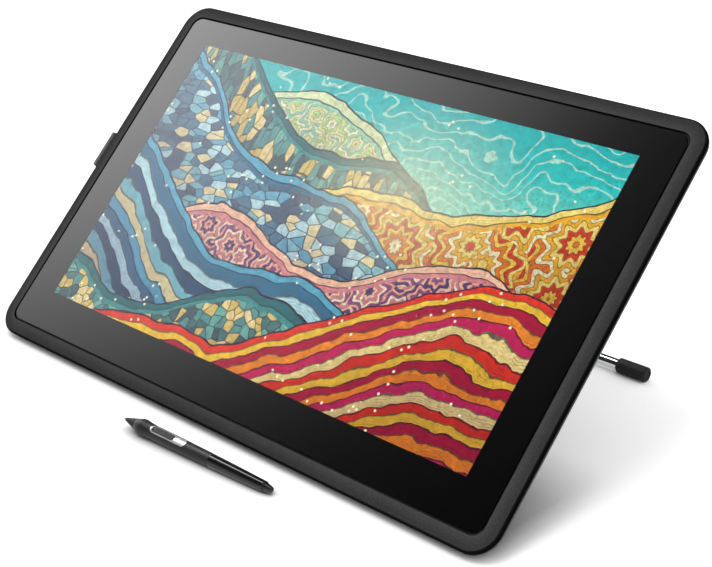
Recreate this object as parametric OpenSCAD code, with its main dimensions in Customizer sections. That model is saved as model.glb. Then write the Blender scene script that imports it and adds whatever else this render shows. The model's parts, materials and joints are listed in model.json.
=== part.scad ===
// Pen display on an adjustable rear stand, with its pen lying in front of it.
// The display is drawn flat in its own frame: x to the right, y up the screen,
// z out of the glass, with its origin at the middle of the frame's lip.

/* [Display body] */
// Width of the display body
body_w = 567.5; // [520:0.5:660]
// Height of the display body along the screen
body_h = 356; // [335:1:420]
// Depth of the display body from the frame's lip to its flat back
body_depth = 28; // [27:0.5:36]
// Outer corner radius of the body
body_corner_r = 22.5; // [22.5:0.5:34]
// Wall of the moulded shells
wall = 2.2; // [1.8:0.1:2.6]
// Height of the short upright side wall of the back cover
side_wall = 2.5; // [2:0.1:4]
// How far the side wall of the back cover leans in
side_lean = 0.5; // [0.2:0.1:1.5]
// Width of the bevel round the back cover
bevel_w = 20.5; // [14:0.5:20.5]
// Depth of the seam groove between the frame and the back cover
seam = 0.4; // [0.2:0.1:0.6]

/* [Front frame] */
// Width of the frame's border round the glass
frame_border = 12.75; // [10:0.25:15]
// Depth of the frame from its lip to the seam
frame_depth = 5; // [4.5:0.1:6]
// Radius of the frame's rolled outer edge
edge_fillet = 2.4; // [1.5:0.1:3]
// How far the frame's face falls from its lip to its edge
crown = 1; // [0.3:0.1:1.2]
// Chamfer on the frame's lip at the glass
lip_chamfer = 0.4; // [0.2:0.1:0.8]
// Thickness of the ledge behind the glass
ledge_t = 1.6; // [1.6:0.1:2.4]

/* [Glass and panel] */
// Gap between the glass and the frame's lip
glass_gap = 1; // [0.3:0.1:1.4]
// Bevel round the upper edge of the glass
glass_bevel = 0.4; // [0.2:0.1:0.8]
// How far the glass lies below the frame's lip
glass_recess = 0.25; // [0.1:0.05:0.5]
// Thickness of the cover glass
glass_t = 1.6; // [1:0.1:2]
// Thickness of the foam tape under the glass
tape_t = 0.35; // [0.2:0.05:0.5]
// Width of the foam tape
tape_w = 7; // [4:0.5:12]
// Width of the picture
active_w = 476.6; // [440:0.1:480]
// Height of the picture
active_h = 268.1; // [240:0.1:270]
// How far the picture lies above the middle of the body
active_rise = 4.5; // [0:0.5:6]
// Margin of the liquid crystal cell round the picture
cell_margin = 4; // [2:0.5:5]
// Thickness of the liquid crystal cell
cell_t = 1.45; // [1:0.05:1.6]
// Thickness of the diffuser films
film_t = 0.8; // [0.4:0.1:1.2]
// Thickness of the light guide
guide_t = 3; // [2:0.1:4]
// Width of the lamp bar beside the light guide
lamp_w = 3; // [2:0.5:5]
// Sheet thickness of the panel tray and the shield plate
sheet_t = 0.8; // [0.6:0.1:1.2]
// Thickness of the pen sensor board
sensor_t = 1; // [0.8:0.1:1.6]

/* [Electronics] */
// Width of the main board
board_w = 130; // [110:1:150]
// Height of the main board
board_h = 95; // [80:1:110]
// Thickness of the circuit boards
board_t = 1.6; // [1:0.1:2]
// Gap between the shield plate and the main board
board_gap = 3; // [2.5:0.1:4]
// Sideways place of the main board and the socket recess
board_x = 151; // [150:1:160]
// Width of the socket recess
recess_w = 110; // [90:1:120]
// Height of the socket recess
recess_h = 50; // [40:1:56]
// Depth of the socket recess
recess_depth = 13.2; // [12:0.1:13.5]
// Top of the socket recess, below the middle of the body
recess_top = 78; // [75:1:86]

/* [Fasteners] */
// Distance of the cover screws from the sides of the panel tray
screw_inset = 6.2; // [5.4:0.1:6.6]
// Shank diameter of the cover screws
screw_d = 3; // [2.5:0.1:3.5]
// Head diameter of the cover screws
screw_head_d = 5.6; // [5:0.1:6]
// Head height of the cover screws
screw_head_t = 2.4; // [1.6:0.1:3]
// Outer diameter of the screw bosses
boss_d = 8.4; // [7.6:0.1:9]
// Spacing of the stand's mounting holes
mount_pitch = 100; // [90:1:106]
// Thread diameter of the stand's screws
mount_d = 4; // [3:0.5:5]
// Head diameter of the stand's screws
mount_head_d = 7.6; // [7:0.1:9]
// Head height of the stand's screws
mount_head_t = 2.4; // [2:0.1:4]

/* [Stand] */
// Tilt of the screen from level
tilt = 45; // [20:1:75]
// Length of the leg from the hinge to the foot bar
leg_length = 191; // [180:1:230]
// Distance of the hinge line behind the flat back
hinge_offset = 15; // [14.5:0.5:20]
// Size of the bracket plate
bracket_size = 124; // [118:1:140]
// Thickness of the bracket plate
bracket_t = 4; // [3:0.5:4.5]
// Diameter of the hinge pin
hinge_pin_d = 10; // [8:0.5:11]
// Outer diameter of the leg's hinge barrel
barrel_d = 19; // [17:0.5:20]
// Width of the leg's hinge barrel
barrel_w = 56; // [50:1:60]
// Width of the leg at the foot bar
leg_foot_w = 84; // [70:1:100]
// Diameter of the foot bar
bar_d = 9.5; // [8:0.5:11]
// Outer diameter of the foot grips
grip_d = 13; // [12:0.1:18]
// Length of each foot grip
grip_len = 29.5; // [20:0.5:40]
// Span of the foot bar from grip end to grip end
bar_span = 400; // [300:1:440]
// Distance of the release lever's pin above the hinge line
lever_rise = 30; // [28:0.5:34]
// Width of the release lever
lever_w = 44; // [36:1:44]
// Length of the release lever above its pin
lever_len = 58; // [50:1:70]

/* [Feet and pen loop] */
// Length of each rubber foot
foot_len = 46; // [30:1:70]
// Distance of the rubber feet from the left and right sides of the body
foot_x = 84; // [60:1:124]
// Edge radius of the rubber feet
foot_r = 6.5; // [5:0.5:7]
// How far the rubber feet stand proud of the bevel
foot_proud = 3.5; // [2:0.5:4.5]
// Bore of the pen loop
loop_d = 13; // [10:0.1:14]
// Wall of the pen loop
loop_wall = 1.9; // [1.2:0.1:2.5]
// Length of the pen loop along the side
loop_len = 34.8; // [24:0.2:50]
// Place of the pen loop above the middle of the body
loop_y = 14.6; // [-40:0.2:60]

/* [Pen] */
// Length of the pen
pen_len = 164; // [158:1:180]
// Greatest diameter of the pen's grip
pen_bulge_d = 13.9; // [13.6:0.1:16]
// Diameter of the pen behind the bulge
pen_waist_d = 11.9; // [11.8:0.1:13.5]
// Diameter of the pen at its tail
pen_tail_d = 8.5; // [8:0.1:12]
// Distance of the pen's tip in front of the display's lower edge
pen_gap = 35.8; // [20:0.2:80]
// Sideways place of the pen's tip
pen_tip_x = -57.4; // [-200:0.2:60]
// Turn of the pen on the desk
pen_turn = 2.3; // [-10:0.1:10]
// Roll of the pen about its axis, which turns its switch to the front
pen_roll = 22; // [-40:1:60]

/* [Hidden] */
$fn = 48;

// Clearances: seated parts, running fits, and parts of different bodies
seat_gap = 0.02;
run_gap = 0.05;
free_gap = 0.3;
// Play between a pressed part and what it presses on, beyond its travel
press_gap = 0.1;
// Overlap that makes cuts pass through and joins solid
bite = 1;

// Levels of the display stack, from the glass down to the back
glass_top = -glass_recess;
glass_bottom = glass_top - glass_t;
ledge_top = glass_bottom - tape_t;
ledge_bottom = ledge_top - ledge_t;
cell_top = ledge_bottom + min(cell_t, ledge_t + tape_t - free_gap);
film_bottom = ledge_bottom - film_t;
guide_bottom = film_bottom - guide_t;
tray_bottom = guide_bottom - sheet_t;
sensor_bottom = tray_bottom - sensor_t;
shield_bottom = sensor_bottom - sheet_t;
board_top = shield_bottom - board_gap;
board_bottom = board_top - board_t;
back_inner = -body_depth + wall;
seam_z = -frame_depth;
bevel_top = seam_z - side_wall;

// Outlines of the display stack
glass_w = body_w - 2 * (frame_border + glass_gap);
glass_h = body_h - 2 * (frame_border + glass_gap);
lip_r = max(body_corner_r - frame_border, bite);
cell_w = active_w + 2 * cell_margin;
cell_h = active_h + 2 * cell_margin;
window_w = cell_w + 2 * free_gap;
window_h = cell_h + 2 * free_gap;
guide_margin = 2;
guide_w = cell_w + 2 * guide_margin;
guide_h = cell_h + 2 * guide_margin;
tray_w = guide_w + 2 * (sheet_t + free_gap);
tray_h = guide_h + 2 * (sheet_t + free_gap);
back_inset = side_lean + bevel_w;
back_corner_r = max(body_corner_r - back_inset, bite);

// Cover screws: corners, the long sides and the short sides below the pen loop, clear of the panel tray
screw_x = tray_w / 2 + screw_inset;
screw_y = active_rise + tray_h / 2 + screw_inset;
screw_mid_x = screw_x / 3;
screw_drop = 38;
screw_side_y = loop_y - loop_len / 2 - screw_drop;
screw_spots = concat(
    [for (sx = [-1, 1], sy = [-1, 1]) [sx * screw_x, sy * screw_y]],
    [for (sx = [-1, 1], sy = [-1, 1]) [sx * screw_mid_x, sy * screw_y]],
    [for (sx = [-1, 1]) [sx * screw_x, screw_side_y]]
);
screw_drive_d = 2;
screw_tip_gap = 1.5;
screw_floor = 5;
screw_land = shield_bottom - screw_floor;
mount_spots = [for (sx = [-1, 1], sy = [-1, 1]) [sx * mount_pitch / 2, sy * mount_pitch / 2]];
mount_drive_d = 2.8;
insert_wall = 1;
insert_d = mount_d + 2 * insert_wall;
insert_len = 7;

// Main board, its screws and the socket recess below it
recess_wall = 1.8;
recess_r = 4;
recess_floor = -body_depth + recess_depth;
recess_y = -recess_top - recess_h / 2;
board_y = -recess_top + recess_wall + free_gap + board_h / 2;
board_hole_inset = 4;
board_hole_x = board_w / 2 - board_hole_inset;
board_hole_y = board_h / 2 - board_hole_inset;
board_holes = [for (sx = [-1, 1], sy = [-1, 1]) [board_x + sx * board_hole_x, board_y + sy * board_hole_y]];
standoff_d = 6;
board_screw_d = 2.5;
board_head_d = 5;
board_head_t = 1.6;
socket_pitch = 32;
hdmi_x = board_x - socket_pitch;
usb_x = board_x;
power_x = board_x + socket_pitch;
hdmi_size = [15, 12, 5.8];
usb_size = [13.4, 14, 6];
power_size = [9, 12, 9];
socket_skin = 0.5;
hdmi_notch = 1.6;
hdmi_tongue = [10, 1];
usb_tongue = [11, 1.8];
usb_tongue_rise = 1;
plug_bore_d = 5.6;
plug_pin_d = 2;

// Parts on the main board: processor, memory, capacitors and the panel's connector
chip_size = 24;
chip_t = 1.8;
chip_at = [-10, 16];
memory_size = [10, 12];
memory_t = 1.2;
memory_at = [18, 8];
memory_pitch = 16;
capacitor_d = 8;
capacitor_t = 6;
capacitor_at = [36, -18];
capacitor_pitch = 12;

// Flat cable from the panel to the main board, through a slot in the shield plate
cable_w = 22;
cable_t = 0.3;
cable_slot_w = 4;
cable_slot_x = board_x - board_w / 2 - cable_w;
plug_size = [6, 28, 1.6];
plug_x = board_x - board_w / 2 + plug_size.x / 2 + bite;
cable_level = board_top + plug_size.z / 2;

// Rows of vent slots near the top of the flat back
vent_slots = 15;
vent_pitch = 6;
vent_len = 24;
vent_w = 2.6;
vent_x = 92;
vent_drop = 62;
vent_y = body_h / 2 - vent_drop;

// Power button on the flat back, near its upper corner
button_inset = [62, 46];
button_x = body_w / 2 - button_inset.x;
button_y = body_h / 2 - button_inset.y;
button_len = 14;
button_wid = 6;
button_proud = 0.9;
button_travel = 0.5;
button_flange = 1.4;
flange_t = 1.2;
button_stem = 0.8;
switch_body_t = 3.5;
switch_size = 6;
plunger_t = 0.5;
plunger_d = 3;
switch_top = back_inner + flange_t + button_stem + button_travel + press_gap;
button_board_z = switch_top + plunger_t + switch_body_t;
button_board_w = 44;
button_board_h = 14;
button_post_x = 17;
button_post_d = 5;
lens_x = 10.5;
lens_d = 2;

// Feet on the lower bevel: two rounded edges with a flat between them
bevel_run = [bevel_w, -body_depth - bevel_top];
bevel_len = norm(bevel_run);
bevel_dir = bevel_run / bevel_len;
bevel_out = [bevel_dir.y, -bevel_dir.x];
bevel_start = [-body_h / 2 + side_lean, bevel_top];
foot_inset = 6;
foot_half = bevel_len / 2 - foot_inset;
foot_sink = foot_r - foot_proud;
foot_mid = bevel_start + bevel_dir * bevel_len / 2;
foot_centres = [for (s = [-1, 1]) foot_mid + bevel_dir * s * foot_half - bevel_out * foot_sink];

// Place of the display over the desk, and of the foot bar behind it
function world_y(q) = q.x * cos(tilt) - q.y * sin(tilt);
function world_z(q) = q.x * sin(tilt) + q.y * cos(tilt);
display_z = foot_r - min([for (q = foot_centres) world_z(q)]);
hinge = [0, -body_depth - hinge_offset];
hinge_y = world_y(hinge);
hinge_z = display_z + world_z(hinge);
leg_drop = asin((hinge_z - grip_d / 2) / leg_length);
bar_y = hinge_y + leg_length * cos(leg_drop);
edge_y = world_y([-body_h / 2, -crown - edge_fillet]);
pen_tip_y = edge_y - pen_gap;
display_y = -(bar_y + grip_d / 2 + pen_tip_y - pen_bulge_d / 2) / 2;

// Pen loop on the left side, clear of the bevel
loop_r = loop_d / 2;
loop_out_r = loop_r + loop_wall;
loop_z = seam_z - loop_out_r - free_gap;
loop_lap = 0.2;
loop_x = loop_lap - body_w / 2 - loop_r;
loop_neck_t = 5;
loop_head_t = 8;
loop_head_w = 2.4;
inner_slope = (back_inset - wall) / (bevel_top - back_inner);
loop_head_x = -body_w / 2 + wall + (bevel_top - loop_z + loop_head_t / 2) * inner_slope + free_gap;
display_x = (loop_out_r - loop_x - body_w / 2) / 2;

// Stand bracket, ears, pins and lever
washer_t = 1;
side_play = 0.15;
ear_t = 7;
ear_in = barrel_w / 2 + washer_t + 2 * side_play;
ear_out = ear_in + ear_t;
ear_wall = 6;
ear_r = hinge_pin_d / 2 + ear_wall;
pin_end = 3;
hinge_pin_half = ear_out + pin_end;
pin_lip = 2.5;
pin_head_d = hinge_pin_d + 2 * pin_lip;
pin_head_t = 2.5;
clip_t = 1;
clip_mouth = 7;
bracket_r = 9;
pin_bore_len = 4 * ear_out;
lever_pin_d = 5;
lever_pin_end = 0.5;
lever_offset = 12.5;
lever_ear_t = 4;
lever_ear_in = lever_w / 2 + free_gap;
lever_ear_out = lever_ear_in + lever_ear_t;
lever_ear_r = 6.5;
lever_knuckle_r = 6;
lever_root = lever_knuckle_r + 2;
lever_t = 4;
lever_flare = 5;
lever_pivot = [lever_rise, -body_depth - lever_offset];
nose_dir = (hinge - lever_pivot) / norm(hinge - lever_pivot);
nose_turn = atan2(nose_dir.y, nose_dir.x);
nose_r = 4;
nose_reach = norm(hinge - lever_pivot) - barrel_d / 2 - free_gap - nose_r;
nose_inset = 4;
nose_w = lever_w - 2 * nose_inset;
spring_w = 16;
spring_wire_d = 1.2;
spring_play = 0.6;
spring_r = lever_pin_d / 2 + spring_play + spring_wire_d / 2;
spring_turns = 6;
spring_pitch = 2;
spring_rings = 8;
spring_sides = 6;
spring_leg = 9;
spring_len = spring_turns * spring_pitch;
spring_foot = [-spring_leg, lever_offset - bracket_t - spring_wire_d / 2 - seat_gap];
spring_coil = [
    for (k = [0:spring_turns * spring_rings])
        let (a = 360 * k / spring_rings + 90)
            [spring_pitch * k / spring_rings - spring_len / 2, spring_r * cos(a), spring_r * sin(a)]
];
spring_tail = [
    [-spring_len / 2, spring_foot.x, spring_foot.y],
    [-spring_len / 2, spring_foot.x / 2, spring_r]
];
spring_path = concat(spring_tail, spring_coil);

// Rubber pad on the lever's tip
lever_pad_len = 16;
lever_pad_t = 1.4;
lever_pad_inset = 3;
lever_pad_end = 2;
lever_pad_ridges = 5;
lever_ridge_r = 1;

// Leg: barrels, rails, web and cross ribs. Below the foot bar its barrel is thin, to clear the desk
foot_wall_share = 0.6;
foot_wall_under = foot_wall_share * (grip_d - bar_d) / 2;
foot_wall_over = 4.2;
foot_barrel_r = bar_d / 2 + (foot_wall_under + foot_wall_over) / 2;
foot_barrel_rise = (foot_wall_over - foot_wall_under) / 2;
rail_t = 5;
rail_h = 9;
web_t = 3;
rib_count = 3;
rib_t = 3;
rib_sink = 1;
leg_shoulder = 3;
leg_top_half = barrel_w / 2 - leg_shoulder;
leg_foot_half = leg_foot_w / 2;
grub_d = 4;
grub_inset = 12;
grub_x = leg_foot_w / 2 - grub_inset;
grub_len = 2.8;
grub_drive_d = 2;
grip_cap = 3;
bar_end = bar_span / 2 - grip_cap;
grip_chamfer = 1.4;
grip_round = 1.6;
dimple_d = 8.8;
dimple_depth = 0.6;

// Pen: stations along its axis from the tip, and its inner fits
nose_start = 2.4;
nose_end = 16.5;
ring_w = 0.7;
ring_flare = 0.25;
bulge_s = 22.7;
waist_s = 35;
grip_end = 99.5;
eraser_len = 7.6;
barrel_end = pen_len - eraser_len;
tail_plug = 12;
core_end = barrel_end - tail_plug;
tail_round = 0.8;
core_r = 3.6;
core_bore_r = 2.6;
nose_lap = 4;
nib_r = 1;
nib_len = 34;
nib_travel = 0.3;
nib_tip_r = 0.7;
coil_gap = 1;
coil_start = nose_end + nose_lap + coil_gap;
coil_len = 10;
sensor_start = nib_len + nib_travel + press_gap;
sensor_len = 6;
pen_board_len = 80;
pen_board_t = 1;
pen_board_inset = 0.5;
pen_board_half = core_bore_r - pen_board_inset;
nose_tip_r = 1.4;
nose_base_r = 5.3;
bulge_r = pen_bulge_d / 2;
waist_r = pen_waist_d / 2;
tail_r = pen_tail_d / 2;
eraser_step = 0.7;
eraser_r = tail_r - eraser_step;
eraser_taper = 1;
eraser_round = 2.4;
eraser_stem_r = 1.8;
eraser_travel = 0.4;
eraser_stem = 8;
switch_s = 53.5;
bezel_len = 39;
bezel_w = 7;
bezel_rim = 0.9;
bezel_proud = 0.15;
bezel_sink = 0.6;
bezel_pin_wall = 0.5;
rocker_proud = 0.45;
rocker_len = 25;
rocker_margin = 0.5;
rocker_s = switch_s - bezel_len / 2 + bezel_rim + rocker_margin + rocker_len / 2;
rocker_w = bezel_w - 2 * (bezel_rim + free_gap);
rocker_top = pen_r(rocker_s) + rocker_proud;
rocker_dome_r = 150;
rocker_pin_z = 4.75;
rocker_pin_d = 0.9;
rocker_clear = 0.3;
rocker_base = core_r + rocker_clear;

// Steps in the curves of the outlines
edge_steps = 8;
crown_steps = 6;
nose_steps = 6;
bulge_steps = 6;
waist_steps = 8;
round_steps = 6;
// Angle at which the frame's rolled edge runs into its crowned face
edge_end = 90 + atan2(2 * crown, frame_border - lip_chamfer - edge_fillet);
// How far the pen's nose and the front of its grip bow, and how fast the bulge falls to the waist
nose_bow = 8;
grip_bow = 76;
waist_fall = 1.5;

// Outside of the pen from its nose to its tail
nose_outline = bow_points([nose_start, nose_tip_r], [nose_end, nose_base_r], nose_bow, nose_steps);
grip_outline = concat(
    bow_points([nose_end + ring_w, nose_base_r + ring_flare], [bulge_s, bulge_r], grip_bow, bulge_steps),
    fall_points([bulge_s, bulge_r], [waist_s, waist_r], waist_fall, bulge_steps),
    shaft_points(waist_s, grip_end, waist_steps)
);
barrel_outline = concat(
    shaft_points(grip_end, barrel_end - tail_round, waist_steps),
    [[barrel_end, tail_r - tail_round]]
);

// The pen rests on its bulge and on the barrel, wherever that swells most towards the desk
pen_lean = min([for (q = barrel_outline) atan2(bulge_r - q.y, q.x - bulge_s)]);
pen_z = bulge_s * sin(pen_lean) + bulge_r * cos(pen_lean);

// Radius of the pen behind its waist, and points along it
function pen_r(s) = waist_r - (waist_r - tail_r) * pow((s - waist_s) / (barrel_end - waist_s), 2);
function shaft_points(a, b, n) = [for (k = [0:n]) let (s = a + (b - a) * k / n) [s, pen_r(s)]];

// Points on a curve that bows between two places, on one that falls off, and on an arc
function bow_points(p, q, bow, n) = [
    for (k = [0:n]) [p.x + (q.x - p.x) * k / n, p.y + (q.y - p.y) * sin(bow * k / n) / sin(bow)]
];
function fall_points(p, q, power, n) = [
    for (k = [1:n - 1]) [p.x + (q.x - p.x) * k / n, q.y + (p.y - q.y) * pow(1 - k / n, power)]
];
function turn(a) = [cos(a), sin(a)];
function arc_points(c, r, a, b, n) = [for (k = [0:n]) c + r * turn(a + (b - a) * k / n)];

// Least gap between the turns of a coiled wire, measured on its points
function turn_gap(path, rings, d) = min([
    for (i = [0:len(path) - 1], j = [i + rings - 2:1:len(path) - 1])
        norm(path[i] - path[j]) - d
]);
echo(lever_spring_gap = turn_gap(spring_coil, spring_rings, spring_wire_d));

// Ring of points round one place on a path
function unit(v) = v / norm(v);
function along(path, k) = unit(path[min(k + 1, len(path) - 1)] - path[max(k - 1, 0)]);
function across(t) = abs(t.x) > 0.9 ? unit(cross(t, [0, 1, 0])) : unit(cross(t, [1, 0, 0]));
function ring(path, k, r, sides) =
    let (t = along(path, k), u = across(t), v = cross(t, u))
        [for (s = [0:sides - 1]) path[k] + r * (cos(360 * s / sides) * u + sin(360 * s / sides) * v)];

// A tube of a few sides along a path of points
module tube(path, r, sides) {
    n = len(path);
    points = [for (k = [0:n - 1]) each ring(path, k, r, sides)];
    skin = [
        for (k = [0:n - 2], s = [0:sides - 1])
            let (a = k * sides + s, b = k * sides + (s + 1) % sides)
                each [[a, a + sides, b], [b, a + sides, b + sides]]
    ];
    first = [for (s = [1:sides - 2]) [0, s, s + 1]];
    last = [for (s = [1:sides - 2]) (n - 1) * sides * [1, 1, 1] + [0, s + 1, s]];
    polyhedron(points, concat(skin, first, last));
}

// A rectangle with true round corners
module rounded_rect(w, h, r) {
    square([w - 2 * r, h], center = true);
    square([w, h - 2 * r], center = true);
    for (sx = [-1, 1], sy = [-1, 1])
        translate([sx * (w / 2 - r), sy * (h / 2 - r)])
            circle(r);
}

// A slot with round ends
module slot(len, w) {
    square([len - w, w], center = true);
    for (s = [-1, 1])
        translate([s * (len - w) / 2, 0])
            circle(w / 2);
}

// A flat plate between two levels
module layer(top, bottom) {
    translate([0, 0, bottom])
        linear_extrude(top - bottom)
            children();
}

// A bar along x of a section drawn in y and z
module bar_x(half) {
    translate([-half, 0, 0])
        rotate([90, 0, 90])
            linear_extrude(2 * half)
                children();
}

// A bar along y of a section drawn in x and z
module bar_y(half) {
    translate([0, half, 0])
        rotate([90, 0, 0])
            linear_extrude(2 * half)
                children();
}

// A section carried round a rectangle with round corners: x runs inward, y is the level
module round_outline(w, h, r) {
    for (k = [0:3]) {
        size = k % 2 == 0 ? [w, h] : [h, w];
        rotate([0, 0, 90 * k]) {
            translate([0, -size.y / 2, 0])
                bar_x(size.x / 2 - r)
                    children();
            translate([size.x / 2 - r, r - size.y / 2, 0])
                rotate([0, 0, -90])
                    rotate_extrude(angle = 90)
                        intersection() {
                            translate([r, 0])
                                mirror([1, 0])
                                    children();
                            translate([0, -body_depth - bite])
                                square([r + bite, body_depth + 2 * bite]);
                        }
        }
    }
}

// The display's frame over the desk
module in_display() {
    translate([display_x, display_y, display_z])
        rotate([tilt, 0, 0])
            children();
}

// The leg's frame: origin on the hinge line, y towards the foot bar
module on_leg() {
    translate([display_x, display_y + hinge_y, hinge_z])
        rotate([-leg_drop, 0, 0])
            children();
}

// The release lever's frame: origin on its pin
module on_lever() {
    in_display()
        translate([0, lever_pivot.x, lever_pivot.y])
            children();
}

// The pen's frame: origin at its tip, x along its axis
module on_pen() {
    translate([display_x + pen_tip_x, display_y + pen_tip_y, pen_z])
        rotate([0, pen_lean, pen_turn])
            rotate([pen_roll, 0, 0])
                children();
}

// A body of revolution about the pen's axis, drawn as distance and radius
module pen_turned() {
    rotate([90, 0, 90])
        rotate_extrude()
            children();
}

// Outline for pen_turned: distance along the axis against radius
module pen_outline(points) {
    polygon([for (q = points) [q.y, q.x]]);
}

module front_frame() {
    color("#3b3b3c")
        in_display() {
            round_outline(body_w, body_h, body_corner_r)
                polygon(concat(
                    [[seam, seam_z], [0, seam_z + seam]],
                    arc_points([edge_fillet, -crown - edge_fillet], edge_fillet, 180, edge_end, edge_steps),
                    [for (k = [1:crown_steps]) [
                        edge_fillet + (frame_border - lip_chamfer - edge_fillet) * k / crown_steps,
                        -crown * pow(1 - k / crown_steps, 2)
                    ]],
                    [[frame_border, -lip_chamfer], [frame_border, ledge_bottom]],
                    [[wall, ledge_bottom], [wall, seam_z]]
                ));
            layer(ledge_top, ledge_bottom)
                difference() {
                    rounded_rect(body_w - 2 * wall, body_h - 2 * wall, body_corner_r - wall);
                    translate([0, active_rise])
                        square([window_w, window_h], center = true);
                }
            for (q = screw_spots)
                translate([q.x, q.y])
                    layer(ledge_bottom, sensor_bottom)
                        difference() {
                            circle(boss_d / 2);
                            circle(screw_d / 2 + seat_gap);
                        }
        }
}

module cover_glass() {
    color("#16181b")
        in_display()
            difference() {
                layer(glass_top, glass_bottom)
                    rounded_rect(glass_w, glass_h, lip_r);
                round_outline(glass_w, glass_h, lip_r)
                    polygon([
                        [-bite, glass_top - glass_bevel - bite], [glass_bevel + bite, glass_top + bite],
                        [-bite, glass_top + bite]
                    ]);
            }
}

module glass_tape() {
    color("#202020")
        in_display()
            layer(glass_bottom, ledge_top)
                difference() {
                    rounded_rect(glass_w - bite, glass_h - bite, lip_r);
                    square([glass_w - bite - 2 * tape_w, glass_h - bite - 2 * tape_w], center = true);
                }
}

module lcd_cell() {
    color("#3fa7a0")
        in_display()
            translate([0, active_rise])
                layer(cell_top, ledge_bottom)
                    square([cell_w, cell_h], center = true);
}

module diffuser_films() {
    color("white")
        in_display()
            translate([0, active_rise])
                layer(ledge_bottom, film_bottom)
                    square([guide_w, guide_h], center = true);
}

module light_guide() {
    color("#e8f0f2")
        in_display()
            translate([0, active_rise + lamp_w / 2])
                layer(film_bottom, guide_bottom)
                    square([guide_w, guide_h - lamp_w], center = true);
}

module led_bar() {
    color("#f4efd2")
        in_display()
            translate([0, active_rise - guide_h / 2 + lamp_w / 2 - free_gap / 2])
                layer(film_bottom, guide_bottom)
                    square([guide_w, lamp_w - free_gap], center = true);
}

module panel_tray() {
    color("#b9bcbf")
        in_display()
            translate([0, active_rise]) {
                layer(guide_bottom, tray_bottom)
                    square([tray_w, tray_h], center = true);
                layer(ledge_bottom, tray_bottom)
                    difference() {
                        square([tray_w, tray_h], center = true);
                        square([tray_w - 2 * sheet_t, tray_h - 2 * sheet_t], center = true);
                    }
            }
}

module sensor_board() {
    color("#2f6b45")
        in_display()
            translate([0, active_rise])
                layer(tray_bottom, sensor_bottom)
                    square([cell_w, cell_h], center = true);
}

module shield_plate() {
    plate_w = 2 * (screw_x + boss_d / 2);
    plate_h = 2 * (screw_y + boss_d / 2);
    color("#c3c6c8")
        in_display() {
            layer(sensor_bottom, shield_bottom)
                difference() {
                    rounded_rect(plate_w, plate_h, boss_d / 2);
                    for (q = screw_spots)
                        translate(q)
                            circle(screw_d / 2 + free_gap);
                    translate([cable_slot_x, board_y])
                        square([cable_slot_w, cable_w + 2 * free_gap], center = true);
                }
            for (q = board_holes)
                translate(q)
                    layer(shield_bottom, board_top)
                        difference() {
                            circle(standoff_d / 2);
                            circle(board_screw_d / 2 + seat_gap);
                        }
        }
}

module main_board() {
    color("#1f5a3a")
        in_display()
            translate([board_x, board_y]) {
                layer(board_top, board_bottom)
                    difference() {
                        square([board_w, board_h], center = true);
                        for (q = board_holes)
                            translate([q.x - board_x, q.y - board_y])
                                circle(board_screw_d / 2 + run_gap);
                    }
                // Processor, memory and a row of round capacitors
                layer(board_bottom, board_bottom - chip_t)
                    translate(chip_at)
                        square(chip_size, center = true);
                for (k = [0:1])
                    layer(board_bottom, board_bottom - memory_t)
                        translate(memory_at + [0, memory_pitch * k])
                            square(memory_size, center = true);
                for (k = [0:3])
                    layer(board_bottom, board_bottom - capacitor_t)
                        translate(capacitor_at + [0, capacitor_pitch * k])
                            circle(capacitor_d / 2);
                // Connector for the panel's cable
                translate([plug_x - board_x, 0])
                    layer(board_top + plug_size.z, board_top)
                        square([plug_size.x, plug_size.y], center = true);
            }
}

module board_screws() {
    color("#c9c9c9")
        in_display()
            for (q = board_holes)
                translate(q) {
                    layer(shield_bottom, board_bottom)
                        circle(board_screw_d / 2);
                    layer(board_bottom, board_bottom - board_head_t)
                        circle(board_head_d / 2);
                }
}

module panel_cable() {
    color("#c98a3a")
        in_display()
            translate([0, board_y])
                bar_y(cable_w / 2) {
                    translate([cable_slot_x, cable_level])
                        square([cable_t, sensor_bottom - cable_level]);
                    translate([cable_slot_x, cable_level - cable_t])
                        square([plug_x - plug_size.x / 2 - cable_slot_x, cable_t]);
                }
}

// A socket on the underside of the main board, mouth down the screen
module at_socket(x, size) {
    in_display()
        translate([x, -recess_top + size.y / 2, board_bottom - size.z / 2])
            children();
}

module hdmi_socket() {
    x = hdmi_size.x / 2 - socket_skin;
    z = hdmi_size.z / 2 - socket_skin;
    color("#a9abad")
        at_socket(hdmi_x, hdmi_size) {
            difference() {
                cube(hdmi_size, center = true);
                translate([0, -bite, 0])
                    bar_y(hdmi_size.y / 2)
                        polygon([
                            [-x, z], [x, z], [x, hdmi_notch - z],
                            [x - hdmi_notch, -z], [hdmi_notch - x, -z], [-x, hdmi_notch - z]
                        ]);
            }
            cube([hdmi_tongue.x, hdmi_size.y - bite, hdmi_tongue.y], center = true);
        }
}

module usb_socket() {
    color("#a9abad")
        at_socket(usb_x, usb_size) {
            difference() {
                cube(usb_size, center = true);
                translate([0, -bite, 0])
                    cube(usb_size - [2 * socket_skin, 0, 2 * socket_skin], center = true);
            }
            translate([0, 0, usb_tongue_rise])
                cube([usb_tongue.x, usb_size.y - bite, usb_tongue.y], center = true);
        }
}

module power_socket() {
    color("#1c1c1c")
        at_socket(power_x, power_size) {
            difference() {
                cube(power_size, center = true);
                translate([0, -bite, 0])
                    rotate([90, 0, 0])
                        cylinder(d = plug_bore_d, h = power_size.y, center = true);
            }
            translate([0, bite, 0])
                rotate([90, 0, 0])
                    cylinder(d = plug_pin_d, h = power_size.y - 2 * bite, center = true);
        }
}

// One socket's opening in the upper wall of the recess
module socket_cut(x, size) {
    translate([x, -recess_top + recess_wall / 2, board_bottom - size.z / 2])
        cube([size.x + 2 * free_gap, recess_wall + 2 * bite, size.z + 2 * free_gap], center = true);
}

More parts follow.
